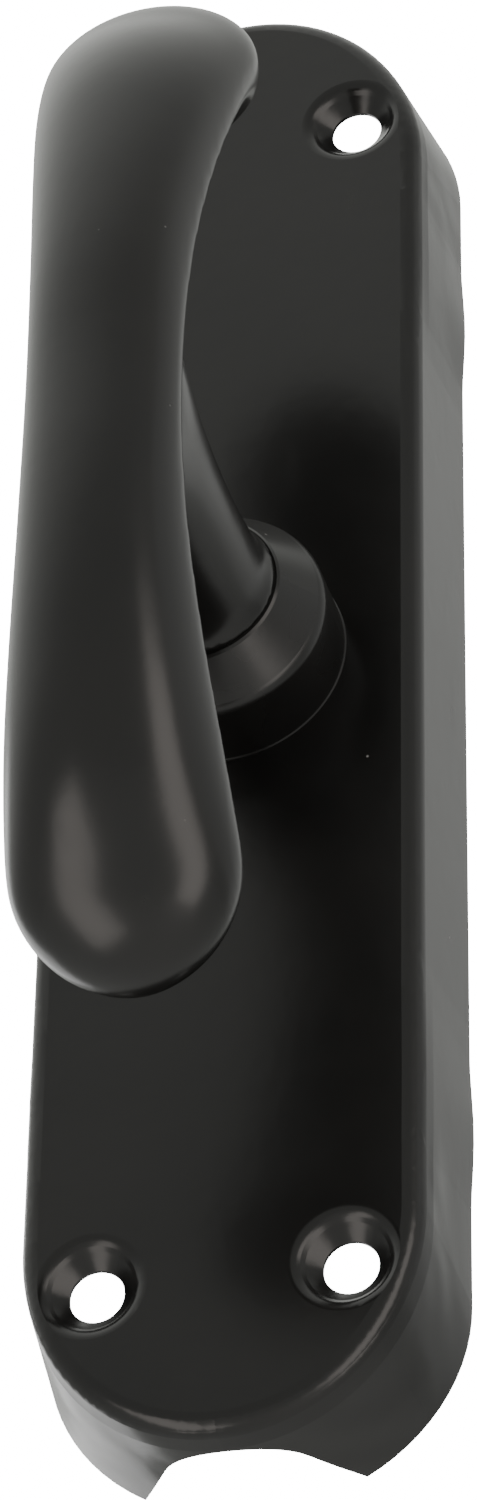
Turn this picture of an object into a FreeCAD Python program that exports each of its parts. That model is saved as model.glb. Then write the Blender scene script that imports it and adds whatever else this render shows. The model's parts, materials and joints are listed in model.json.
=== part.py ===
import FreeCAD, Part
import math
import os

# Cremone bolt case with a T-grip handle.  Millimetres.
# +Z runs up along the two rods, -Y is the front (room side), +Y goes into the door leaf.
# The origin is on the spindle axis, in the plane of the back rim that rests on the door.

# ---- driving dimensions: pressed steel cover ----
CASE_WIDTH = 40.1          # across the back rim
CASE_LENGTH = 167.0        # along Z at the back rim
CASE_DEPTH = 14.0          # back rim to front face
SHEET = 1.2                # sheet thickness
WALL_DRAFT = 1.4           # the walls lean in by this much between rim and front face
END_RISE_BACK = (18.4, 19.4)   # length of the lower and the upper rounded end at the back rim
END_RISE_FRONT = (20.8, 22.0)  # the same at the front face
FACE_RISE = 0.5            # the front face sits this much higher than the rim
BEND_RADIUS = 1.9          # outside radius of the front bend
BULGE = 0.32               # the long rims swell outwards by this much near their ends
BULGE_AT = 47.5            # where they do, measured from the middle
BULGE_REACH = 8.0          # half the length of one swelling
ARCH_RADIUS = 7.6          # crown of the rod arch in each end wall
ARCH_HEIGHT = 10.3         # crown to back rim
ARCH_FOOT = 10.3           # half width at the back rim, where the straight sides end

# ---- driving dimensions: fixing holes ----
SCREW_X = 11.8             # hole centre to the middle line
SCREW_Z = 66.2             # hole centre to the spindle axis
SCREW_RADIUS = 2.6
DIMPLE_RADIUS = 4.7        # sharp rim of the pressed countersink
DIMPLE_DEPTH = 2.1
DIMPLE_SOFTNESS = 1.5      # radius that rounds the countersink's rim

# ---- driving dimensions: bearing collar and neck ----
COLLAR_RADIUS = 11.5
FOOT_RADIUS = 11.65        # thin foot that sits on the cover
CONE_START = 7.2           # height above the front face at which the side turns into the cone
COLLAR_HEIGHT = 12.3       # above the front face
SPIGOT_RADIUS = 8.6        # part of the collar that passes through the cover
LIP_RADIUS = 9.5           # the spigot's end is flared to this behind the guide plate
NECK_RADIUS = 7.5
NECK_CLEARANCE = 0.08      # radial running clearance of the neck in the collar
SHOULDER_RADIUS = 7.95     # small shoulder of the neck that turns on the collar's lip
SHOULDER_GAP = 0.1         # running clearance under it

# ---- driving dimensions: grip ----
GRIP_HEIGHT = 44.6         # line of greatest width above the front face, at the neck
GRIP_BOW = 99.0            # radius of that bowed line
GRIP_SHIFT = 0.8           # the casting carries the grip this far to +X of the spindle axis
GRIP_CAP_AT = 47.0         # distance along the bow at which each rounded end begins
GRIP_CAP_LENGTH = 10.7     # length of the rounded end along the bow
CAP_POWER = 1.9            # 2 is an elliptical end, less is more pointed
EDGE_BLEND = 0.35          # how softly the front dome rolls over into the back
# share of the way to the rounded end, half width, front dome, back dome
GRIP_SECTIONS = [
    (0.0, 7.25, 5.3, 3.0),
    (0.3, 7.7, 6.4, 1.6),
    (0.55, 8.7, 7.5, 1.2),
    (0.75, 9.7, 8.3, 2.1),
    (0.9, 10.3, 7.6, 4.4),
    (1.0, 10.6, 6.4, 8.2),
]

# ---- driving dimensions: rack and pinion ----
MODULE = 1.5
TEETH = 12
PRESSURE_ANGLE = math.radians(20.0)
BACKLASH = 0.2             # taken off each tooth's thickness
PINION_ADDENDUM = 1.2
RACK_ADDENDUM = 1.0
ROOT_GAP = 0.4
GEAR_FRONT = -11.1         # front face of pinion and racks
GEAR_BACK = -5.6           # back face of pinion and racks
RACK_BACK = 14.6           # outer edge of a rack's toothed bar
TONGUE_HALF = 7.0          # half width of the central tongue

# ---- driving dimensions: spindle and its bearings ----
SPINDLE_SQUARE = 7.0
SQUARE_PLAY = 0.05         # between the square and each socket wall
JOURNAL_RADIUS = 3.0
JOURNAL_CLEARANCE = 0.08
SPINDLE_FRONT = -34.0
SPINDLE_END = -0.7
PLATE_HALF = 16.5          # half width of guide plate and bridge
PLATE_LENGTH = 34.0
PLATE_BACK = -11.4
BRIDGE_FRONT = -5.2
BRIDGE_BACK = -3.7
BRIDGE_LENGTH = 22.0
STUD_Z = 32.0              # guide stud to spindle axis
STUD_RADIUS = 3.0
ROD_STUD_Z = 55.5          # rod stud to spindle axis, rods thrown out
ROD_STUD_RADIUS = 3.0
SLIDE_GAP = 0.3            # clearance of sliding parts

# ---- derived ----
FRONT = -CASE_DEPTH
FRONT_INSIDE = FRONT + SHEET
PITCH_RADIUS = MODULE * TEETH / 2.0
PITCH = math.pi * MODULE
RACK_TRAVEL = PITCH_RADIUS * math.pi / 2.0
Y_AXIS = FreeCAD.Vector(0, 1, 0)
Z_AXIS = FreeCAD.Vector(0, 0, 1)


def vec(x, y, z):
    return FreeCAD.Vector(x, y, z)


def box(x0, x1, y0, y1, z0, z1):
    return Part.makeBox(x1 - x0, y1 - y0, z1 - z0, vec(x0, y0, z0))


def disc(radius, y0, y1, x=0.0, z=0.0):
    """A round solid along Y between two depths."""
    return Part.makeCylinder(radius, y1 - y0, vec(x, y0, z), Y_AXIS)


def turned(profile):
    """A solid turned about the spindle axis from (radius, y) corners."""
    wire = Part.makePolygon([vec(r, y, 0) for r, y in profile + profile[:1]])
    return Part.Face(wire).revolve(vec(0, 0, 0), Y_AXIS, 360)


def half_turn(shape):
    """The same shape turned half round the spindle axis."""
    copy = shape.copy()
    copy.rotate(vec(0, 0, 0), Y_AXIS, 180)
    return copy


def quarter(x0, z0, a, b, sx, sz, y):
    """Quarter of an ellipse from (x0 + sx a, z0) to (x0, z0 + sz b)."""
    curve = Part.BezierCurve()
    curve.setPoles([vec(x0 + sx * a, y, z0), vec(x0 + sx * a, y, z0 + sz * b), vec(x0, y, z0 + sz * b)])
    curve.setWeight(2, math.sqrt(0.5))
    return curve.toShape()


def long_side(x, y, low, high, rise, bulge):
    """One long side of the outline: straight, with a soft outward swelling near each end."""
    push = math.copysign(bulge * 1.6, x)
    step = 2 * BULGE_REACH / 5
    edges = []
    start = low
    for middle in (rise - BULGE_AT, rise + BULGE_AT):
        first = middle - BULGE_REACH
        edges.append(Part.makeLine(vec(x, y, start), vec(x, y, first)))
        curve = Part.BezierCurve()
        curve.setPoles([vec(x + push * (k in (2, 3)), y, first + k * step) for k in range(6)])
        edges.append(curve.toShape())
        start = middle + BULGE_REACH
    edges.append(Part.makeLine(vec(x, y, start), vec(x, y, high)))
    return edges


def case_outline(y, inset):
    """Long outline with elliptical ends; the walls lean in towards the front."""
    lean = -y / CASE_DEPTH
    half = CASE_WIDTH / 2.0 - WALL_DRAFT * lean
    reach = CASE_LENGTH / 2.0 - WALL_DRAFT * lean
    lower, upper = [back + (front - back) * lean for back, front in zip(END_RISE_BACK, END_RISE_FRONT)]
    shift = FACE_RISE * lean
    low = shift - reach + lower
    high = shift + reach - upper
    bulge = BULGE * (1 - lean)
    a = half - inset
    edges = [
        *long_side(a, y, low, high, shift, bulge),
        quarter(0, high, a, upper - inset, 1, 1, y),
        quarter(0, high, a, upper - inset, -1, 1, y),
        *long_side(-a, y, low, high, shift, bulge),
        quarter(0, low, a, lower - inset, -1, -1, y),
        quarter(0, low, a, lower - inset, 1, -1, y),
    ]
    return Part.Wire(Part.__sortEdges__(edges))


def drafted_block(y_back, y_front, inset, radius):
    """Solid between two outlines with its front edge rounded."""
    block = Part.makeLoft([case_outline(y_back, inset), case_outline(y_front, inset)], True, True)
    rim = [e for e in block.Edges if e.BoundBox.YMax < y_front + 0.01]
    return block.makeFillet(radius, rim)


def arch_cutter():
    """Round-topped opening with straight sides that run outwards to the back rim."""
    r = ARCH_RADIUS
    centre = ARCH_HEIGHT - r
    reach = math.hypot(ARCH_FOOT, centre)
    turn = math.acos(r / reach) - math.atan2(centre, ARCH_FOOT)
    meet_x = r * math.cos(turn)
    meet_y = -centre - r * math.sin(turn)
    z = -CASE_LENGTH / 2.0 - 5.0
    edges = [
        Part.makeLine(vec(ARCH_FOOT, 0, z), vec(meet_x, meet_y, z)),
        Part.Arc(vec(meet_x, meet_y, z), vec(0, -ARCH_HEIGHT, z), vec(-meet_x, meet_y, z)).toShape(),
        Part.makeLine(vec(-meet_x, meet_y, z), vec(-ARCH_FOOT, 0, z)),
        Part.makeLine(vec(-ARCH_FOOT, 0, z), vec(-ARCH_FOOT, 1, z)),
        Part.makeLine(vec(-ARCH_FOOT, 1, z), vec(ARCH_FOOT, 1, z)),
        Part.makeLine(vec(ARCH_FOOT, 1, z), vec(ARCH_FOOT, 0, z)),
    ]
    face = Part.Face(Part.Wire(edges))
    return face.extrude(vec(0, 0, 20.0))


def dimple_cutter():
    """Countersink with a soft rim, turned about its own axis at the origin."""
    slope = (DIMPLE_RADIUS - SCREW_RADIUS) / DIMPLE_DEPTH
    cone = math.atan(slope)
    tangent = DIMPLE_SOFTNESS * math.tan((math.pi / 2.0 - cone) / 2.0)
    start = DIMPLE_RADIUS + tangent
    end_r = DIMPLE_RADIUS - tangent * math.sin(cone)
    end_y = FRONT + tangent * math.cos(cone)
    turn = (math.pi / 2.0 - cone) / 2.0
    mid_r = start - DIMPLE_SOFTNESS * math.sin(turn)
    mid_y = FRONT + DIMPLE_SOFTNESS - DIMPLE_SOFTNESS * math.cos(turn)
    low = FRONT + DIMPLE_DEPTH
    edges = [
        Part.Arc(vec(start, FRONT, 0), vec(mid_r, mid_y, 0), vec(end_r, end_y, 0)).toShape(),
        Part.makeLine(vec(end_r, end_y, 0), vec(SCREW_RADIUS, low, 0)),
        Part.makeLine(vec(SCREW_RADIUS, low, 0), vec(SCREW_RADIUS, 0, 0)),
        Part.makeLine(vec(SCREW_RADIUS, 0, 0), vec(0, 0, 0)),
        Part.makeLine(vec(0, 0, 0), vec(0, FRONT - 1, 0)),
        Part.makeLine(vec(0, FRONT - 1, 0), vec(start, FRONT - 1, 0)),
        Part.makeLine(vec(start, FRONT - 1, 0), vec(start, FRONT, 0)),
    ]
    return Part.Face(Part.Wire(edges)).revolve(vec(0, 0, 0), Y_AXIS, 360)


def dimple_boss():
    """Metal pushed inwards around a screw hole."""
    return Part.makeCone(DIMPLE_RADIUS + 0.8, SCREW_RADIUS + 1.7, 1.3, vec(0, FRONT_INSIDE, 0), Y_AXIS)


def make_cover():
    shell = drafted_block(0.0, FRONT, 0.0, BEND_RADIUS)
    hollow = drafted_block(1.0, FRONT_INSIDE, SHEET, BEND_RADIUS - SHEET)
    cover = shell.cut(hollow)
    arch = arch_cutter()
    cover = cover.cut(arch).cut(half_turn(arch))
    boss = dimple_boss()
    cutter = dimple_cutter()
    for sx in (-1, 1):
        for sz in (-1, 1):
            place = vec(sx * SCREW_X, 0, sz * SCREW_Z)
            cover = cover.fuse(boss.translated(place))
            cover = cover.cut(cutter.translated(place))
    cover = cover.cut(disc(SPIGOT_RADIUS, FRONT - 1, FRONT_INSIDE + 1))
    return cover.removeSplitter()


def make_collar():
    """Turned collar with a conical top; its spigot is flared behind the guide plate."""
    bore = NECK_RADIUS + NECK_CLEARANCE
    top = FRONT - COLLAR_HEIGHT
    side = FRONT - CONE_START
    edges = [
        Part.makeLine(vec(FOOT_RADIUS, FRONT, 0), vec(FOOT_RADIUS, FRONT - 0.25, 0)),
        Part.makeLine(vec(FOOT_RADIUS, FRONT - 0.25, 0), vec(COLLAR_RADIUS, FRONT - 0.33, 0)),
        Part.makeLine(vec(COLLAR_RADIUS, FRONT - 0.33, 0), vec(COLLAR_RADIUS, side, 0)),
        Part.Arc(vec(COLLAR_RADIUS, side, 0), vec(COLLAR_RADIUS - 0.12, side - 0.62, 0),
                 vec(COLLAR_RADIUS - 0.48, side - 1.15, 0)).toShape(),
        Part.makeLine(vec(COLLAR_RADIUS - 0.48, side - 1.15, 0), vec(8.25, top + 0.2, 0)),
        Part.makeLine(vec(8.25, top + 0.2, 0), vec(8.0, top, 0)),
        Part.makeLine(vec(8.0, top, 0), vec(bore + 0.04, top, 0)),
        Part.makeLine(vec(bore + 0.04, top, 0), vec(bore, top + 0.04, 0)),
        Part.makeLine(vec(bore, top + 0.04, 0), vec(bore, PLATE_BACK - 0.05, 0)),
        Part.makeLine(vec(bore, PLATE_BACK - 0.05, 0), vec(LIP_RADIUS - 0.05, PLATE_BACK - 0.05, 0)),
        Part.makeLine(vec(LIP_RADIUS - 0.05, PLATE_BACK - 0.05, 0), vec(SPIGOT_RADIUS, PLATE_BACK - 0.9, 0)),
        Part.makeLine(vec(SPIGOT_RADIUS, PLATE_BACK - 0.9, 0), vec(SPIGOT_RADIUS, FRONT, 0)),
        Part.makeLine(vec(SPIGOT_RADIUS, FRONT, 0), vec(FOOT_RADIUS, FRONT, 0)),
    ]
    return Part.Face(Part.Wire(edges)).revolve(vec(0, 0, 0), Y_AXIS, 360)


def make_guide_plate():
    """Flat plate behind the cover's face that clamps the collar and carries the bridge."""
    half_long = PLATE_LENGTH / 2.0
    plate = box(-PLATE_HALF, PLATE_HALF, FRONT_INSIDE, PLATE_BACK, -half_long, half_long)
    corners = [e for e in plate.Edges if abs(e.BoundBox.YLength - (PLATE_BACK - FRONT_INSIDE)) < 0.01]
    plate = plate.makeFillet(2.5, corners)
    plate = plate.cut(disc(SPIGOT_RADIUS, FRONT_INSIDE - 1, PLATE_BACK + 1))
    flare = Part.makeCone(SPIGOT_RADIUS, LIP_RADIUS, 0.9, vec(0, PLATE_BACK - 0.9, 0), Y_AXIS)
    plate = plate.cut(flare)
    for side in (-1, 1):
        x0 = min(side * 15.0, side * 17.0)
        plate = plate.cut(box(x0, x0 + 2.0, FRONT_INSIDE - 1, PLATE_BACK + 1, -4.0, 4.0))
    return plate


def make_bridge():
    """U-shaped steel bridge over the gears: rear bearing, and side guides for the racks."""
    half_long = BRIDGE_LENGTH / 2.0
    outer = box(-PLATE_HALF, PLATE_HALF, PLATE_BACK, BRIDGE_BACK, -half_long, half_long)
    bends = [e for e in outer.Edges if abs(e.BoundBox.ZLength - BRIDGE_LENGTH) < 0.01
             and e.BoundBox.YMin > BRIDGE_BACK - 0.01]
    outer = outer.makeFillet(2.0, bends)
    inner = box(-15.0, 15.0, PLATE_BACK - 1, BRIDGE_FRONT, -half_long - 1, half_long + 1)
    bridge = outer.cut(inner)
    for side in (-1, 1):
        x0 = min(side * 15.0, side * PLATE_HALF)
        bridge = bridge.fuse(box(x0, x0 + 1.5, FRONT_INSIDE, PLATE_BACK, -4.0, 4.0))
    bridge = bridge.cut(disc(JOURNAL_RADIUS + JOURNAL_CLEARANCE, BRIDGE_FRONT - 1, BRIDGE_BACK + 1))
    return bridge.removeSplitter()


def guide_stud():
    """Headed stud that runs in a rack's slot and keeps the rack in the case."""
    shank = disc(STUD_RADIUS, FRONT_INSIDE, GEAR_BACK + SLIDE_GAP, 0, STUD_Z)
    head = disc(4.5, GEAR_BACK + SLIDE_GAP, GEAR_BACK + SLIDE_GAP + 1.3, 0, STUD_Z)
    foot = Part.makeCone(4.6, STUD_RADIUS, 0.8, vec(0, FRONT_INSIDE, STUD_Z), Y_AXIS)
    head_rim = [e for e in head.Edges if e.BoundBox.YMin > GEAR_BACK + SLIDE_GAP + 1.2]
    return shank.fuse(head.makeFillet(0.4, head_rim)).fuse(foot).removeSplitter()


def make_guide_studs():
    stud = guide_stud()
    return Part.makeCompound([stud, half_turn(stud)])


def grip_size(share):
    """Half width, front dome and back dome, smoothly between the listed sections."""
    rows = [(-row[0],) + row[1:] for row in GRIP_SECTIONS[:0:-1]] + GRIP_SECTIONS
    last = len(rows) - 1
    k = max(i for i in range(last) if rows[i][0] <= share or i == 0)
    low, high = rows[k], rows[k + 1]
    before, after = rows[max(k - 1, 0)], rows[min(k + 2, last)]
    span = high[0] - low[0]
    t = (share - low[0]) / span
    size = []
    for j in (1, 2, 3):
        leave = span * (high[j] - before[j]) / (high[0] - before[0])
        arrive = span * (after[j] - low[j]) / (after[0] - low[0])
        size.append(
            (2 * t ** 3 - 3 * t ** 2 + 1) * low[j]
            + (t ** 3 - 2 * t ** 2 + t) * leave
            + (3 * t ** 2 - 2 * t ** 3) * high[j]
            + (t ** 3 - t ** 2) * arrive
        )
    return size


def closed_curve(points):
    """Smooth closed curve through evenly numbered points."""
    count = len(points)
    curve = Part.BSplineCurve()
    steps = [k / count for k in range(count + 1)]
    curve.interpolate(Points=points, PeriodicFlag=True, Parameters=steps)
    return Part.Wire(curve.toShape())


def grip_ring(along, half_w, front, back):
    """Closed section square to the bow: a domed front that rolls over into a flatter back."""
    turn = along / GRIP_BOW
    rise = GRIP_HEIGHT - GRIP_BOW * (1 - math.cos(turn))
    middle = vec(GRIP_SHIFT, FRONT - rise, GRIP_BOW * math.sin(turn))
    out = vec(0, -math.cos(turn), math.sin(turn))
    count = 32
    points = []
    for k in range(count):
        angle = 2 * math.pi * k / count
        side = math.cos(angle)
        dome = back + (front - back) * (1 + math.tanh(side / EDGE_BLEND)) / 2
        points.append(middle + vec(-half_w * math.sin(angle), 0, 0) + out * (dome * side))
    return closed_curve(points)


def make_grip_bar():
    stations = []
    for k in range(-10, 11):
        share = k / 10.0
        stations.append([share * GRIP_CAP_AT] + grip_size(share))
    end = stations[-1][1:]
    for degrees in (15, 30, 44, 57, 69, 79, 86):
        reach = math.sin(math.radians(degrees))
        shrink = (1 - reach ** CAP_POWER) ** (1 / CAP_POWER)
        cap = [size * shrink for size in end]
        stations.append([GRIP_CAP_AT + GRIP_CAP_LENGTH * reach] + cap)
        stations.insert(0, [-GRIP_CAP_AT - GRIP_CAP_LENGTH * reach] + cap)
    return Part.makeLoft([grip_ring(*s) for s in stations], True, False)


def neck_ring(height, shift, half_x, half_z):
    count = 24
    points = []
    for k in range(count):
        angle = 2 * math.pi * k / count
        x = shift + half_x * math.cos(angle)
        points.append(vec(x, FRONT - height, half_z * math.sin(angle)))
    return closed_curve(points)


def make_handle():
    """One casting: bowed grip, waisted neck and the journal that turns in the collar."""
    waist = [
        (10.0, 0.0, 7.4, 7.4),
        (13.5, 0.0, 7.25, 7.25),
        (18.0, 0.0, 6.95, 6.95),
        (24.0, 0.05, 6.75, 6.75),
        (31.0, 0.2, 6.8, 7.1),
        (35.0, 0.4, 6.8, 8.1),
        (38.5, 0.6, 6.8, 10.1),
        (41.5, 0.75, 6.6, 13.2),
        (44.0, GRIP_SHIFT, 6.0, 17.0),
    ]
    neck = Part.makeLoft([neck_ring(*w) for w in waist], True, False)
    seat = FRONT - COLLAR_HEIGHT - SHOULDER_GAP
    profile = [(0, -12.0), (NECK_RADIUS, -12.0), (NECK_RADIUS, seat), (SHOULDER_RADIUS, seat)]
    profile += [(SHOULDER_RADIUS, seat - 0.2), (7.5, seat - 0.75), (7.1, seat - 1.9), (0, seat - 1.9)]
    journal = turned(profile)
    handle = make_grip_bar().fuse(neck).fuse(journal)
    half = SPINDLE_SQUARE / 2.0 + SQUARE_PLAY
    handle = handle.cut(box(-half, half, SPINDLE_FRONT - 0.5, 0, -half, half))
    return handle.cut(cross_pin())


def cross_pin():
    return Part.makeCylinder(1.25, 13.4, vec(-6.7, -20.0, 0), vec(1, 0, 0))


def make_spindle():
    """Square bar with a turned and grooved rear journal."""
    half = SPINDLE_SQUARE / 2.0
    square = box(-half, half, SPINDLE_FRONT, BRIDGE_FRONT - SLIDE_GAP, -half, half)
    ends = [e for e in square.Edges if e.BoundBox.YMax < SPINDLE_FRONT + 0.01]
    square = square.makeChamfer(0.6, ends)
    journal = disc(JOURNAL_RADIUS, BRIDGE_FRONT - SLIDE_GAP, SPINDLE_END)
    groove = disc(JOURNAL_RADIUS + 1, -2.05, -1.35).cut(disc(2.4, -2.05, -1.35))
    return square.fuse(journal).cut(groove).cut(cross_pin())


def involute_point(base_radius, radius, turn):
    """Point on an involute flank, with the flank turned by an angle."""
    roll = math.acos(base_radius / radius)
    angle = turn - (math.tan(roll) - roll)
    return vec(radius * math.cos(angle), GEAR_FRONT, radius * math.sin(angle))


def mirrored(point):
    return vec(point.x, point.y, -point.z)


def pinion_tooth():
    """One tooth centred on +X, from below the root circle to the tip circle."""
    base = PITCH_RADIUS * math.cos(PRESSURE_ANGLE)
    tip = PITCH_RADIUS + PINION_ADDENDUM
    half_angle = (PITCH / 2.0 - BACKLASH) / 2.0 / PITCH_RADIUS
    turn = half_angle + math.tan(PRESSURE_ANGLE) - PRESSURE_ANGLE
    radii = [base + (tip - base) * k / 6.0 for k in range(7)]
    flank = [involute_point(base, r, turn) for r in radii]
    start = vec(6.0 * math.cos(turn), GEAR_FRONT, 6.0 * math.sin(turn))
    side = Part.BSplineCurve()
    side.interpolate(flank)
    other = Part.BSplineCurve()
    other.interpolate([mirrored(p) for p in flank])
    edges = [
        Part.makeLine(start, flank[0]),
        side.toShape(),
        Part.Arc(flank[-1], vec(tip, GEAR_FRONT, 0), mirrored(flank[-1])).toShape(),
        other.toShape(),
        Part.makeLine(mirrored(flank[0]), mirrored(start)),
        Part.makeLine(mirrored(start), start),
    ]
    wire = Part.Wire(Part.__sortEdges__(edges))
    return Part.Face(wire).extrude(vec(0, GEAR_BACK - GEAR_FRONT, 0))


def make_pinion():
    root = PITCH_RADIUS - RACK_ADDENDUM - ROOT_GAP
    pinion = disc(root, GEAR_FRONT, GEAR_BACK)
    tooth = pinion_tooth()
    for k in range(TEETH):
        one = tooth.copy()
        one.rotate(vec(0, 0, 0), Y_AXIS, 360.0 * k / TEETH)
        pinion = pinion.fuse(one)
    half = SPINDLE_SQUARE / 2.0 + SQUARE_PLAY
    pinion = pinion.cut(box(-half, half, GEAR_FRONT - 1, GEAR_BACK + 1, -half, half))
    return pinion.removeSplitter()


def rack_outline():
    """Toothed edge and back of the bar, seen from the front, from its low end upwards."""
    tip_x = PITCH_RADIUS - RACK_ADDENDUM
    root_x = PITCH_RADIUS + PINION_ADDENDUM + ROOT_GAP
    slope = math.tan(PRESSURE_ANGLE)
    half_pitch_line = (PITCH / 2.0 - BACKLASH) / 2.0
    half_tip = half_pitch_line - RACK_ADDENDUM * slope
    half_root = half_pitch_line + (root_x - PITCH_RADIUS) * slope
    corners = [(root_x, -10.5)]
    for k in range(-2, 4):
        z = (k + 0.5) * PITCH
        corners.append((root_x, z - half_root))
        corners.append((tip_x, z - half_tip))
        corners.append((tip_x, z + half_tip))
        corners.append((root_x, z + half_root))
    corners.append((root_x, 28.0))
    corners.append((RACK_BACK, 28.0))
    corners.append((RACK_BACK, -10.5))
    return corners


def make_rack():
    """Upper rack: toothed bar on the right, joined to a slotted tongue on the middle line."""
    corners = rack_outline()
    wire = Part.makePolygon([vec(x, GEAR_FRONT, z) for x, z in corners + corners[:1]])
    bar = Part.Face(wire).extrude(vec(0, GEAR_BACK - GEAR_FRONT, 0))
    arm = box(-TONGUE_HALF, RACK_BACK, GEAR_FRONT, GEAR_BACK, 25.0, 34.0)
    slope = [e for e in arm.Edges if e.BoundBox.XMin > RACK_BACK - 0.01 and e.BoundBox.ZMin > 33.9]
    arm = arm.makeChamfer(6.0, slope)
    low_corner = [e for e in arm.Edges if e.BoundBox.XMax < 0.01 - TONGUE_HALF and e.BoundBox.ZMax < 25.01]
    arm = arm.makeFillet(2.0, low_corner)
    tongue = box(-TONGUE_HALF, TONGUE_HALF, GEAR_FRONT, GEAR_BACK, 30.0, 60.0)
    ends = [e for e in tongue.Edges if e.BoundBox.ZMin > 59.9 and e.BoundBox.YLength > 1]
    tongue = tongue.makeFillet(3.0, ends)
    rack = bar.fuse(arm).fuse(tongue)
    slot_half = STUD_RADIUS + SLIDE_GAP
    low = STUD_Z - SLIDE_GAP
    high = STUD_Z + RACK_TRAVEL + SLIDE_GAP
    for z in (low, high):
        rack = rack.cut(disc(slot_half, GEAR_FRONT - 1, GEAR_BACK + 1, 0, z))
    rack = rack.cut(box(-slot_half, slot_half, GEAR_FRONT - 1, GEAR_BACK + 1, low, high))
    rack = rack.cut(disc(2.0, GEAR_FRONT - 1, GEAR_BACK + 1, 0, ROD_STUD_Z))
    foot = Part.makeCone(5.8, STUD_RADIUS + SLIDE_GAP, 2.5, vec(0, GEAR_FRONT - 1.0, 0), Y_AXIS)
    rack = rack.cut(relief(foot, low, high))
    return rack.removeSplitter()


def relief(cone, low, high):
    """Room in the front of a slot for the guide stud's coned foot."""
    shape = cone.translated(vec(0, 0, low)).fuse(cone.translated(vec(0, 0, high)))
    wide = 5.8
    narrow = STUD_RADIUS + SLIDE_GAP
    y0 = GEAR_FRONT - 1.0
    y1 = y0 + 2.5
    corners = [(-wide, y0), (wide, y0), (narrow, y1), (-narrow, y1), (-wide, y0)]
    wire = Part.makePolygon([vec(x, y, low) for x, y in corners])
    return shape.fuse(Part.Face(wire).extrude(vec(0, 0, high - low)))


def make_rod_stud():
    """Shouldered stud riveted through the tongue; a rod's flat end hooks over it."""
    shank = disc(2.0, GEAR_FRONT + 0.2, GEAR_BACK, 0, ROD_STUD_Z)
    pin = disc(ROD_STUD_RADIUS, GEAR_BACK, -0.5, 0, ROD_STUD_Z)
    tip = [e for e in pin.Edges if e.BoundBox.YMin > -0.6]
    return shank.fuse(pin.makeChamfer(0.5, tip)).removeSplitter()


def make_spring_washer():
    """Dished washer that loads the bridge and steadies the handle."""
    return turned([(3.15, -3.2), (6.2, -3.6), (6.2, -3.15), (3.15, -2.75)])


def make_flat_washer():
    return disc(6.2, -2.75, -2.05).cut(disc(3.15, -2.75, -2.05))


def make_retaining_ring():
    """E-ring in the spindle's groove, open at the bottom, with three inner lands."""
    ring = disc(5.4, -2.0, -1.4).cut(disc(3.8, -3, 0))
    for degrees in (0, 90, 180):
        land = box(2.4, 4.6, -2.0, -1.4, -1.0, 1.0)
        land.rotate(vec(0, 0, 0), Y_AXIS, -degrees)
        ring = ring.fuse(land)
    ring = ring.cut(disc(2.4, -3, 0))
    return ring.cut(box(-2.1, 2.1, -3, 0, -6.0, -2.0)).removeSplitter()


def main():
    os.makedirs("parts", exist_ok=True)
    rack = make_rack()
    rod_stud = make_rod_stud()
    shapes = {
        "cover": make_cover(),
        "bearing_collar": make_collar(),
        "guide_plate": make_guide_plate(),
        "bridge_plate": make_bridge(),
        "guide_studs": make_guide_studs(),
        "grip_handle": make_handle(),
        "square_spindle": make_spindle(),
        "cross_pin": cross_pin(),
        "pinion": make_pinion(),
        "spring_washer": make_spring_washer(),
        "flat_washer": make_flat_washer(),
        "retaining_ring": make_retaining_ring(),
        "upper_rack": rack,
        "lower_rack": half_turn(rack),
        "upper_rod_stud": rod_stud,
        "lower_rod_stud": half_turn(rod_stud),
    }
    for name, shape in shapes.items():
        shape.exportStep("parts/" + name + ".step")
        bound = shape.BoundBox
        print(name, shape.isValid(), len(shape.Solids), round(shape.Volume, 1),
              [round(v, 2) for v in (bound.XMin, bound.XMax, bound.YMin, bound.YMax, bound.ZMin, bound.ZMax)])


main()
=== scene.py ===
import json
import math

import bmesh
import bpy
from mathutils import Matrix, Vector


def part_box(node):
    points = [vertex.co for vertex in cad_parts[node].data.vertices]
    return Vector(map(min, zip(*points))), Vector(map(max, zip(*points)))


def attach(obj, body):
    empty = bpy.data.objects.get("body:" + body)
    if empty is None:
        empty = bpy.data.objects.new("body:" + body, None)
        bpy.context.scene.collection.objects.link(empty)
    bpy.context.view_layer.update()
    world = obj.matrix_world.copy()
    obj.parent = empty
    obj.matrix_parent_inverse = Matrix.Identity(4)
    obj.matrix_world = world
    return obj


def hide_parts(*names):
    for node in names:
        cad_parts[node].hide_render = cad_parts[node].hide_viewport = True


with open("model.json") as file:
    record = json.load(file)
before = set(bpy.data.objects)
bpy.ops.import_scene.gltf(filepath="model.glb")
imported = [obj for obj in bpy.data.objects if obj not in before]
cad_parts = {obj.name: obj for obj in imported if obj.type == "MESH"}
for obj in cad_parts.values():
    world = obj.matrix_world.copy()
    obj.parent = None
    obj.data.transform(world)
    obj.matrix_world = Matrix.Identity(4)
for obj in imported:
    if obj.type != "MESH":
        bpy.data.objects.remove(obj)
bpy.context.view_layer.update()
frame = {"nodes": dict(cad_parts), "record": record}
nodes = frame["nodes"]


# ---------- materials ----------

# a Mix node's colour sockets, by number, because its number sockets have the same names
MIX_COLOR_A = 6
MIX_COLOR_B = 7
MIX_COLOR_RESULT = 2


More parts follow.
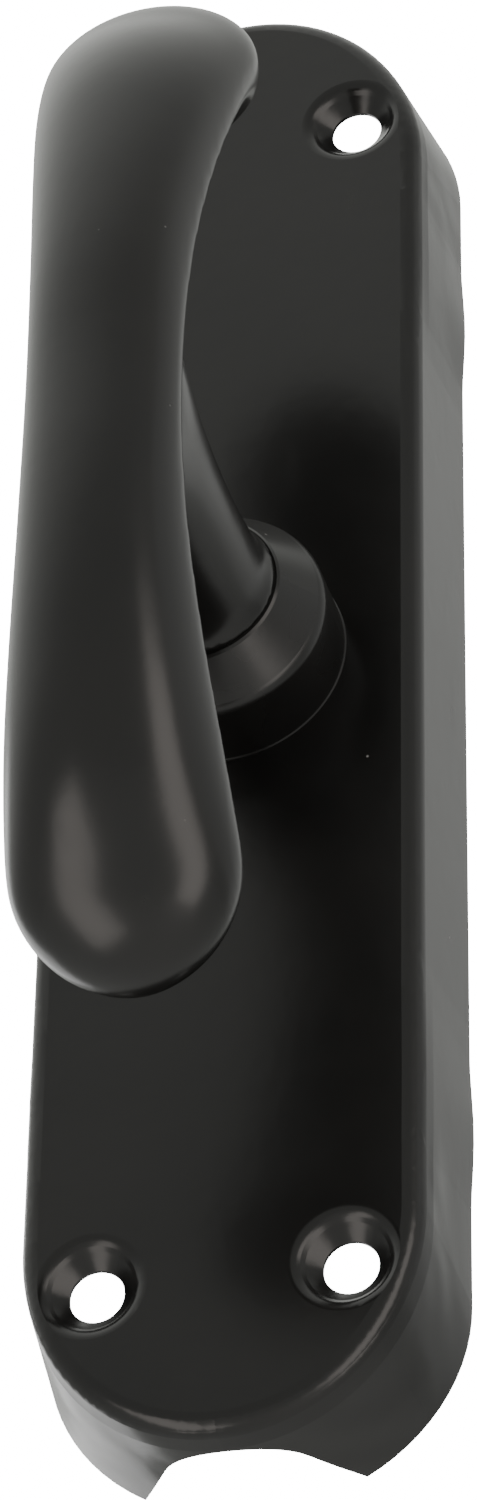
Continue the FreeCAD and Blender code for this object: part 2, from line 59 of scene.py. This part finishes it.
class Nodes:
    """Small helper that builds one material's node tree."""

    def __init__(self, name):
        self.material = bpy.data.materials.new(name)
        self.material.use_nodes = True
        self.tree = self.material.node_tree
        self.shader = self.tree.nodes["Principled BSDF"]
        self.coords = self.tree.nodes.new("ShaderNodeTexCoord").outputs["Object"]

    def link(self, output, socket):
        self.tree.links.new(output, socket)

    def put(self, socket, value):
        if isinstance(value, bpy.types.NodeSocket):
            self.link(value, socket)
        else:
            socket.default_value = value

    def stretched(self, scale):
        node = self.tree.nodes.new("ShaderNodeMapping")
        node.inputs["Scale"].default_value = scale
        self.link(self.coords, node.inputs["Vector"])
        return node.outputs["Vector"]

    def noise(self, scale, detail=4.0, roughness=0.55, vector=None, distortion=0.0):
        node = self.tree.nodes.new("ShaderNodeTexNoise")
        node.inputs["Scale"].default_value = scale
        node.inputs["Detail"].default_value = detail
        node.inputs["Roughness"].default_value = roughness
        node.inputs["Distortion"].default_value = distortion
        self.link(self.coords if vector is None else vector, node.inputs["Vector"])
        return node.outputs["Fac"]

    def cells(self, scale):
        node = self.tree.nodes.new("ShaderNodeTexVoronoi")
        node.inputs["Scale"].default_value = scale
        self.link(self.coords, node.inputs["Vector"])
        return node.outputs["Distance"]

    def ramp(self, value, low, high, to_low=0.0, to_high=1.0):
        """Turn low..high into to_low..to_high, and hold the ends beyond them."""
        node = self.tree.nodes.new("ShaderNodeMapRange")
        node.clamp = True
        for key, number in (("From Min", low), ("From Max", high), ("To Min", to_low), ("To Max", to_high)):
            node.inputs[key].default_value = number
        self.link(value, node.inputs["Value"])
        return node.outputs["Result"]

    def math(self, operation, a, b=0.0):
        node = self.tree.nodes.new("ShaderNodeMath")
        node.operation = operation
        self.put(node.inputs[0], a)
        self.put(node.inputs[1], b)
        return node.outputs["Value"]

    def mix(self, factor, a, b):
        node = self.tree.nodes.new("ShaderNodeMix")
        node.data_type = "RGBA"
        self.put(node.inputs["Factor"], factor)
        self.put(node.inputs[MIX_COLOR_A], a)
        self.put(node.inputs[MIX_COLOR_B], b)
        return node.outputs[MIX_COLOR_RESULT]

    def bump(self, height, distance, strength=1.0, normal=None):
        node = self.tree.nodes.new("ShaderNodeBump")
        node.inputs["Distance"].default_value = distance
        node.inputs["Strength"].default_value = strength
        self.link(height, node.inputs["Height"])
        if normal is not None:
            self.link(normal, node.inputs["Normal"])
        return node.outputs["Normal"]

    def finish(self, color, roughness, metallic=0.0, normal=None):
        self.put(self.shader.inputs["Base Color"], color)
        self.put(self.shader.inputs["Roughness"], roughness)
        self.put(self.shader.inputs["Metallic"], metallic)
        if normal is not None:
            self.link(normal, self.shader.inputs["Normal"])
        return self.material


def grey(value, warm=0.0):
    """An opaque grey; warm above 0 leans it to red, below 0 to blue."""
    return (value * (1 + warm), value, value * (1 - warm), 1.0)


# where the press wrinkled the cover, in metres: distance from the middle, and height of the wall
WRINKLES_FADE_IN_Z = (0.036, 0.055)
WRINKLES_FADE_IN_Y = (-0.0132, -0.0105)
WRINKLE_HEIGHT = 0.0006
PEEL_HEIGHT = 0.00004
PAINT_DARK = grey(0.0042, 0.05)
PAINT_LIGHT = grey(0.006, 0.08)
DUST_COLOR = grey(0.32, 0.02)
DUST_COVER = 0.7        # how much of the paint a speck of dust hides
DUST_ROUGHNESS = 0.25   # what dust adds to the paint's roughness
RUB_ROUGHNESS = 0.06    # what rubbing adds to it


def wrinkle_zone(n):
    """1 on the walls where they run into the rounded ends, 0 on the face and in the middle."""
    parts = n.tree.nodes.new("ShaderNodeSeparateXYZ")
    n.link(n.coords, parts.inputs["Vector"])
    toward_end = n.ramp(n.math("ABSOLUTE", parts.outputs["Z"]), *WRINKLES_FADE_IN_Z)
    return n.math("MULTIPLY", toward_end, n.ramp(parts.outputs["Y"], *WRINKLES_FADE_IN_Y))


def black_paint(name, roughness, waviness, wrinkled=False):
    """Satin black paint: orange peel, soft waviness of the metal under it, a little dust."""
    n = Nodes(name)
    peel = n.noise(420.0, 2.0)
    soft = n.noise(60.0, 3.0)
    dust = n.ramp(n.cells(190.0), 0.012, 0.032, 1.0, 0.0)
    rare = n.ramp(n.noise(33.0, 0.0), 0.47, 0.5)
    specks = n.math("MULTIPLY", dust, rare)
    rubbed = n.ramp(n.noise(140.0, 4.0, vector=n.stretched((1.0, 1.0, 0.25))), 0.62, 0.8)
    base = n.mix(n.ramp(soft, 0.35, 0.7), PAINT_DARK, PAINT_LIGHT)
    color = n.mix(n.math("MULTIPLY", specks, DUST_COVER), base, DUST_COLOR)
    rough = n.ramp(soft, 0.3, 0.75, roughness - 0.02, roughness + 0.025)
    rough = n.math("ADD", rough, n.math("MULTIPLY", rubbed, RUB_ROUGHNESS))
    rough = n.math("ADD", rough, n.math("MULTIPLY", specks, DUST_ROUGHNESS))
    normal = n.bump(n.noise(38.0, 1.5), waviness)
    if wrinkled:
        folds = n.noise(75.0, 1.0, vector=n.stretched((1.0, 1.0, 0.8)), distortion=0.6)
        normal = n.bump(n.math("MULTIPLY", folds, wrinkle_zone(n)), WRINKLE_HEIGHT, normal=normal)
    normal = n.bump(peel, PEEL_HEIGHT, 0.35, normal)
    return n.finish(color, rough, normal=normal)


def plated_steel(name):
    """Zinc plate: fine rolling lines and a cloudy sheen."""
    n = Nodes(name)
    fine = n.noise(900.0, 3.0, vector=n.stretched((1.0, 1.0, 0.06)))
    cloud = n.noise(70.0, 5.0)
    color = n.mix(n.ramp(cloud, 0.3, 0.7), grey(0.48, -0.02), grey(0.62, 0.01))
    rough = n.ramp(cloud, 0.3, 0.7, 0.3, 0.42)
    return n.finish(color, rough, 1.0, n.bump(fine, 0.00002, 0.4))


def bright_steel(name):
    """Drawn or turned steel with a few dull stains."""
    n = Nodes(name)
    fine = n.noise(700.0, 3.0, vector=n.stretched((1.0, 0.05, 1.0)))
    stain = n.noise(120.0, 4.0)
    color = n.mix(n.ramp(stain, 0.45, 0.75), grey(0.6), grey(0.46, 0.05))
    rough = n.ramp(stain, 0.3, 0.7, 0.22, 0.36)
    return n.finish(color, rough, 1.0, n.bump(fine, 0.00002, 0.5))


def sintered_steel(name):
    """Pressed and sintered powder: grainy, dark with oil in places."""
    n = Nodes(name)
    grain = n.noise(2400.0, 2.0, 0.7)
    oil = n.noise(85.0, 4.0)
    color = n.mix(n.ramp(oil, 0.35, 0.7), grey(0.16, 0.02), grey(0.26, 0.03))
    rough = n.ramp(oil, 0.35, 0.7, 0.34, 0.55)
    return n.finish(color, rough, 0.9, n.bump(grain, 0.00005, 0.6))


def spring_steel(name):
    """Dark tempered strip."""
    n = Nodes(name)
    fine = n.noise(1100.0, 2.0)
    tone = n.noise(140.0, 3.0)
    color = n.mix(n.ramp(tone, 0.35, 0.7), grey(0.11, -0.04), grey(0.19, 0.03))
    rough = n.ramp(tone, 0.3, 0.7, 0.28, 0.4)
    return n.finish(color, rough, 1.0, n.bump(fine, 0.00002, 0.4))


# for each black paint, the roughness and the height of its waviness
materials = {
    "black_paint_case": black_paint("black_paint_case", 0.23, 0.00007, wrinkled=True),
    "black_paint_collar": black_paint("black_paint_collar", 0.28, 0.0001),
    "black_paint_grip": black_paint("black_paint_grip", 0.245, 0.0003),
    "zinc_plate": plated_steel("zinc_plate"),
    "bright_steel": bright_steel("bright_steel"),
    "sintered_steel": sintered_steel("sintered_steel"),
    "spring_steel": spring_steel("spring_steel"),
}
slot_of = {part["node"]: part["material_slot"] for part in frame["record"]["subparts"]}
for name, node in nodes.items():
    node.data.materials.clear()
    node.data.materials.append(materials[slot_of[name]])
    for polygon in node.data.polygons:
        polygon.material_index = 0


# ---------- grip casting ----------

# lengths are in millimetres up to tube(), which makes metres of them
MM = 0.001
FACE_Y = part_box("cover")[0][1] / MM     # front face of the cover
GRIP_HEIGHT = 44.6      # line of greatest width above the front face
GRIP_BOW = 99.0         # radius of that bowed line
GRIP_SHIFT = 0.8        # the grip sits this far to +X of the spindle axis
ARM_STATIONS = 10       # sections from the grip's middle to each rounded end
CAP_AT = 47.0           # where each rounded end begins along the bow
CAP_LENGTH = 10.7
CAP_POWER = 1.9         # 2 would be an ellipse, less is more pointed
CAP_DEGREES = (15, 30, 44, 57, 69, 79, 86)  # sections along a rounded end
EDGE_BLEND = 0.35       # how softly the front dome rolls over into the back
RING_POINTS = 32
RING_ANGLES = [2 * math.pi * k / RING_POINTS for k in range(RING_POINTS)]
ROUNDING_LEVELS = 3     # subdivisions that round off the tubes
CAST_GRAIN = 0.36       # cell size of the joined surface
FETTLE_FACTOR = 0.5     # strength and number of the smoothing passes after it
FETTLE_PASSES = 8
# share of the way to the rounded end, half width, front dome, back dome
GRIP_SECTIONS = [
    (0.0, 7.25, 5.3, 3.0),
    (0.3, 7.7, 6.4, 1.6),
    (0.55, 8.7, 7.5, 1.2),
    (0.75, 9.7, 8.3, 2.1),
    (0.9, 10.3, 7.6, 4.4),
    (1.0, 10.6, 6.4, 8.2),
]
JOURNAL_RADIUS = 7.46
JOURNAL_Y = (-12.0, -19.0)      # two sections of the neck inside the collar
# height above the front face, sideways shift, half width, half length
NECK_SECTIONS = [
    (12.35, 0.0, 7.5, 7.5),
    (12.45, 0.0, 8.0, 8.0),
    (12.75, 0.0, 7.98, 7.98),
    (13.2, 0.0, 7.6, 7.6),
    (14.2, 0.0, 7.25, 7.25),
    (15.5, 0.0, 7.12, 7.12),
    (18.0, 0.0, 6.95, 6.95),
    (24.0, 0.05, 6.75, 6.75),
    (31.0, 0.2, 6.8, 7.1),
    (35.0, 0.4, 6.8, 8.1),
    (38.5, 0.6, 6.8, 10.1),
    (41.5, 0.75, 6.6, 13.2),
    (44.0, GRIP_SHIFT, 6.0, 17.0),
]


def grip_size(share):
    """Half width, front dome and back dome, smoothly between the listed sections."""
    rows = [(-row[0],) + row[1:] for row in GRIP_SECTIONS[:0:-1]] + GRIP_SECTIONS
    last = len(rows) - 1
    k = max(i for i in range(last) if rows[i][0] <= share or i == 0)
    low, high = rows[k], rows[k + 1]
    before, after = rows[max(k - 1, 0)], rows[min(k + 2, last)]
    span = high[0] - low[0]
    t = (share - low[0]) / span
    size = []
    for j in (1, 2, 3):
        leave = span * (high[j] - before[j]) / (high[0] - before[0])
        arrive = span * (after[j] - low[j]) / (after[0] - low[0])
        size.append(
            (2 * t ** 3 - 3 * t ** 2 + 1) * low[j] + (t ** 3 - 2 * t ** 2 + t) * leave
            + (3 * t ** 2 - 2 * t ** 3) * high[j] + (t ** 3 - t ** 2) * arrive
        )
    return size


def grip_ring(along, half_w, front, back):
    """Section square to the bow: a domed front that rolls over into a flatter back."""
    turn = along / GRIP_BOW
    rise = GRIP_HEIGHT - GRIP_BOW * (1 - math.cos(turn))
    middle = Vector((GRIP_SHIFT, FACE_Y - rise, GRIP_BOW * math.sin(turn)))
    out = Vector((0, -math.cos(turn), math.sin(turn)))
    ring = []
    for angle in RING_ANGLES:
        side = math.cos(angle)
        dome = back + (front - back) * (1 + math.tanh(side / EDGE_BLEND)) / 2
        ring.append(middle + Vector((-half_w * math.sin(angle), 0, 0)) + out * (dome * side))
    return ring


def grip_rings():
    """Sections of the grip from one rounded end to the other."""
    stations = []
    for k in range(-ARM_STATIONS, ARM_STATIONS + 1):
        share = k / ARM_STATIONS
        stations.append([share * CAP_AT] + grip_size(share))
    end = stations[-1][1:]
    for degrees in CAP_DEGREES:
        reach = math.sin(math.radians(degrees))
        cap = [size * (1 - reach ** CAP_POWER) ** (1 / CAP_POWER) for size in end]
        stations.append([CAP_AT + CAP_LENGTH * reach] + cap)
        stations.insert(0, [-CAP_AT - CAP_LENGTH * reach] + cap)
    return [grip_ring(*station) for station in stations]


def neck_ring(y, shift, half_x, half_z):
    return [Vector((shift + half_x * math.cos(angle), y, half_z * math.sin(angle))) for angle in RING_ANGLES]


def neck_rings():
    """Sections of the neck from inside the collar up into the grip."""
    rings = [neck_ring(y, 0.0, JOURNAL_RADIUS, JOURNAL_RADIUS) for y in JOURNAL_Y]
    for above_face, shift, half_x, half_z in NECK_SECTIONS:
        rings.append(neck_ring(FACE_Y - above_face, shift, half_x, half_z))
    return rings


def tube(mesh, rings):
    """Add a closed tube through the rings, each the same number of points."""
    rows = [[mesh.verts.new(point * MM) for point in ring] for ring in rings]
    count = len(rings[0])
    for row, after in zip(rows, rows[1:]):
        for k in range(count):
            j = (k + 1) % count
            mesh.faces.new((row[k], row[j], after[j], after[k]))
    mesh.faces.new(rows[0][::-1])
    mesh.faces.new(rows[-1])


def smooth_tube(name, rings):
    """A piece made of one closed tube, rounded off by subdivision."""
    mesh = bmesh.new()
    tube(mesh, rings)
    bmesh.ops.recalc_face_normals(mesh, faces=mesh.faces)
    data = bpy.data.meshes.new(name)
    mesh.to_mesh(data)
    mesh.free()
    piece = bpy.data.objects.new(name, data)
    bpy.context.scene.collection.objects.link(piece)
    rounding = piece.modifiers.new("rounding", "SUBSURF")
    rounding.levels = rounding.render_levels = ROUNDING_LEVELS
    return piece


def baked(piece):
    """The piece's mesh with its modifiers applied."""
    view = bpy.context.evaluated_depsgraph_get()
    return bpy.data.meshes.new_from_object(piece.evaluated_get(view))


def make_casting():
    """Grip and neck as one casting, with a soft fillet where they join."""
    joined = bmesh.new()
    for source in (smooth_tube("grip_form", grip_rings()), smooth_tube("neck_form", neck_rings())):
        joined.from_mesh(baked(source))
        bpy.data.objects.remove(source)
    data = bpy.data.meshes.new("grip_casting")
    joined.to_mesh(data)
    joined.free()
    piece = bpy.data.objects.new("grip_casting", data)
    bpy.context.scene.collection.objects.link(piece)
    union = piece.modifiers.new("union", "REMESH")
    union.mode = "VOXEL"
    union.voxel_size = CAST_GRAIN * MM
    union.use_smooth_shade = True
    fettle = piece.modifiers.new("fettle", "SMOOTH")
    fettle.factor = FETTLE_FACTOR
    fettle.iterations = FETTLE_PASSES
    piece.data = baked(piece)
    piece.modifiers.clear()
    piece.data.materials.clear()
    piece.data.materials.append(materials["black_paint_grip"])
    return piece


casting = make_casting()
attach(casting, "handle")
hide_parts("grip_handle")


# ---------- studio ----------

FLOOR_Z = -1.2
FLOOR_SIZE = 6.0
WHITE_SWEEP = 17.0      # how bright the white surround looks straight on
TENT_COLOR = (0.985, 1.0, 0.955, 1.0)
SIDE_GLOW = 0.56        # light from the walls of the tent
TOP_GLOW = 1.4          # light from its roof
ROOF = (-0.38, 0.08, 0.92)      # the roof's brightest part is up and to the left
ROOF_REACH = 0.42       # cosine of the angle from there at which the roof ends
UNDER_SHADE = 0.42      # how much of the glow is left straight below
SHADE_Z = (-0.8, -0.35)         # upward part of the directions between which it fades
WARM = (1.0, 0.92, 0.865)
WHITE = (1.0, 1.0, 1.0)


def floor_material():
    n = Nodes("studio_floor")
    cloud = n.noise(6.0, 3.0)
    return n.finish(n.mix(cloud, grey(0.66), grey(0.72)), 0.7)


bpy.ops.mesh.primitive_plane_add(size=FLOOR_SIZE, location=(0, 0, FLOOR_Z))
floor = bpy.context.object
floor.name = "studio_floor"
floor.data.materials.append(floor_material())

world = bpy.data.worlds.new("studio")
bpy.context.scene.world = world
world.use_nodes = True
sky = world.node_tree


def sky_ramp(value, low, high, to_low, to_high):
    node = sky.nodes.new("ShaderNodeMapRange")
    for key, number in (("From Min", low), ("From Max", high), ("To Min", to_low), ("To Max", to_high)):
        node.inputs[key].default_value = number
    sky.links.new(value, node.inputs["Value"])
    return node.outputs["Result"]


# the tent's light, by direction: a bright roof, even sides, a shaded underside
direction = sky.nodes.new("ShaderNodeTexCoord").outputs["Generated"]
toward_roof = sky.nodes.new("ShaderNodeVectorMath")
toward_roof.operation = "DOT_PRODUCT"
toward_roof.inputs[1].default_value = ROOF
sky.links.new(direction, toward_roof.inputs[0])
upward = sky.nodes.new("ShaderNodeSeparateXYZ")
sky.links.new(direction, upward.inputs["Vector"])
shaded = sky.nodes.new("ShaderNodeMath")
shaded.operation = "MULTIPLY"
sky.links.new(sky_ramp(toward_roof.outputs["Value"], ROOF_REACH, 1.0, SIDE_GLOW, TOP_GLOW), shaded.inputs[0])
sky.links.new(sky_ramp(upward.outputs["Z"], *SHADE_Z, UNDER_SHADE, 1.0), shaded.inputs[1])
ambient = sky.nodes["Background"]
ambient.inputs["Color"].default_value = TENT_COLOR
sky.links.new(shaded.outputs["Value"], ambient.inputs["Strength"])

# the camera sees an even white instead
seen = sky.nodes.new("ShaderNodeBackground")
seen.inputs["Color"].default_value = (*WHITE, 1.0)
seen.inputs["Strength"].default_value = WHITE_SWEEP
chooser = sky.nodes.new("ShaderNodeMixShader")
rays = sky.nodes.new("ShaderNodeLightPath")
sky.links.new(rays.outputs["Is Camera Ray"], chooser.inputs["Fac"])
sky.links.new(ambient.outputs["Background"], chooser.inputs[1])
sky.links.new(seen.outputs["Background"], chooser.inputs[2])
sky.links.new(chooser.outputs["Shader"], sky.nodes["World Output"].inputs["Surface"])


def softbox(name, azimuth, elevation, distance, width, height, radiance, color=WHITE):
    """A soft panel facing the object: degrees round from straight in front (90 is +X) and up, then metres."""
    turn = math.radians(azimuth)
    tilt = math.radians(elevation)
    data = bpy.data.lights.new(name, "AREA")
    data.shape = "RECTANGLE"
    data.size = width
    data.size_y = height
    data.energy = radiance * math.pi * width * height
    data.color = color
    lamp = bpy.data.objects.new(name, data)
    place = Vector((math.sin(turn) * math.cos(tilt), -math.cos(turn) * math.cos(tilt), math.sin(tilt)))
    lamp.location = place * distance
    lamp.rotation_euler = (-place).to_track_quat("-Z", "Y").to_euler()
    lamp.visible_camera = False
    bpy.context.scene.collection.objects.link(lamp)


softbox("softbox_right", 54, -15, 1.5, 0.64, 2.1, 2.25, WARM)
softbox("softbox_left_rear", -130, 3, 1.5, 0.8, 1.4, 1.9)
softbox("softbox_low_left", -40, -43, 1.0, 0.42, 0.8, 2.0, WARM)
softbox("fill_right", 106, 20, 2.0, 2.5, 1.8, 0.2)
softbox("fill_behind_right", 153, 26, 2.0, 0.9, 1.3, 0.16)


# ---------- camera ----------

# from below and a little to the right of the object
camera_data = bpy.data.cameras.new("camera")
camera_data.lens = 118.98
camera_data.sensor_width = 36.0
camera_data.clip_start = 0.01
camera = bpy.data.objects.new("camera", camera_data)
bpy.context.scene.collection.objects.link(camera)
bpy.context.scene.camera = camera
camera.matrix_world = Matrix((
    (0.9633007, 0.1358559, 0.2315059, 0.1102474),
    (0.2678957, -0.5407088, -0.7974120, -0.3902261),
    (0.0168441, 0.8301670, -0.5572604, -0.2734051),
    (0.0, 0.0, 0.0, 1.0),
))
